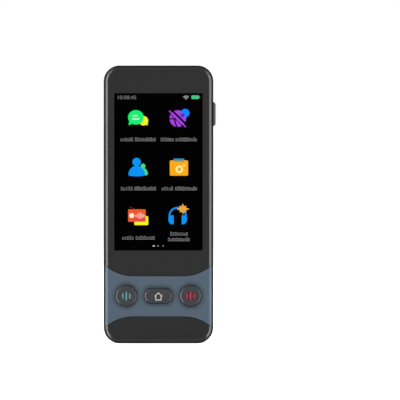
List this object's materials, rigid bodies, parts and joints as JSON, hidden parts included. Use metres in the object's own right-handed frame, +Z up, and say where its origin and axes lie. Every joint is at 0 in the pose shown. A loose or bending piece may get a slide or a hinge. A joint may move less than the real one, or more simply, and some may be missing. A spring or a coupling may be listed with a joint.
{
  "type": "handheld translator",
  "caption": "Slab-shaped pocket translator with a portrait screen, a key band with round and stadium keys, a side key, and a curved back with a camera bump and speaker grille.",
  "frame": {"origin": "centre of the bottom edge face on which the device stands upright, at mid width and mid depth", "axes": "+Z up along the length, -Y out of the screen, +Y out of the back, +X towards the side key"},
  "size_m": [0.0505, 0.0135, 0.1252],
  "materials": {
    "frame_metal": "satin anodised dark silver",
    "dark_panel": "smooth dark grey",
    "blue_panel": "fine satin blue-grey",
    "cover_plastic": "fine satin near-black",
    "key_plastic": "satin dark grey",
    "screen": "smooth black screen panel",
    "steel": "plain stamped steel",
    "board": "green solder mask on glass-fibre board",
    "black_plastic": "moulded black",
    "white_plastic": "moulded white",
    "flex": "amber polyimide ribbon",
    "battery_wrap": "foil pouch in grey wrap",
    "foam": "soft black foam",
    "lens_glass": "dark coated glass"
  },
  "bodies": {
    "case": {"mid_frame": "frame_metal", "back_cover": "cover_plastic", "cover_glass": "dark_panel", "button_fascia": "blue_panel", "chin_cover": "dark_panel", "chassis_plate": "steel", "lcd_panel": "screen", "backlight_unit": "white_plastic", "display_flex": "flex", "left_talk_switch_base": "black_plastic", "home_switch_base": "black_plastic", "right_talk_switch_base": "black_plastic", "power_switch_base": "black_plastic", "key_board": "board", "main_board": "board", "key_board_screw_1": "steel", "key_board_screw_2": "steel", "key_board_screw_3": "steel", "key_board_screw_4": "steel", "main_board_screw_1": "steel", "main_board_screw_2": "steel", "main_board_screw_3": "steel", "main_board_screw_4": "steel", "shield_can": "steel", "processor_chip": "black_plastic", "radio_module": "steel", "lower_link_connector": "black_plastic", "upper_link_connector": "black_plastic", "board_link_flex": "flex", "battery_cell": "battery_wrap", "battery_connector": "white_plastic", "battery_lead": "flex", "camera_bezel": "frame_metal", "camera_window": "lens_glass", "camera_lens_barrel": "black_plastic", "camera_lens": "lens_glass", "camera_module": "black_plastic", "speaker_frame": "black_plastic", "speaker_cone": "foam", "speaker_gasket": "foam", "usb_shell": "steel", "usb_tongue": "black_plastic", "bottom_microphone": "steel", "top_microphone": "steel", "wifi_antenna": "flex"},
    "left_talk_key": {"left_talk_button": "key_plastic", "left_talk_switch_plunger": "white_plastic"},
    "home_key": {"home_button": "key_plastic", "home_switch_plunger": "white_plastic"},
    "right_talk_key": {"right_talk_button": "key_plastic", "right_talk_switch_plunger": "white_plastic"},
    "power_key": {"power_button": "key_plastic", "power_switch_plunger": "white_plastic"}
  },
  "joints": [
    {"name": "left_talk_press", "type": "slide", "parent": "case", "child": "left_talk_key", "axis": [0, 1, 0], "range_m": [0, 0.0003], "stiffness_N_per_m": 400},
    {"name": "home_press", "type": "slide", "parent": "case", "child": "home_key", "axis": [0, 1, 0], "range_m": [0, 0.0003], "stiffness_N_per_m": 400},
    {"name": "right_talk_press", "type": "slide", "parent": "case", "child": "right_talk_key", "axis": [0, 1, 0], "range_m": [0, 0.0003], "stiffness_N_per_m": 400},
    {"name": "power_press", "type": "slide", "parent": "case", "child": "power_key", "axis": [-1, 0, 0], "range_m": [0, 0.0003], "stiffness_N_per_m": 400}
  ]
}
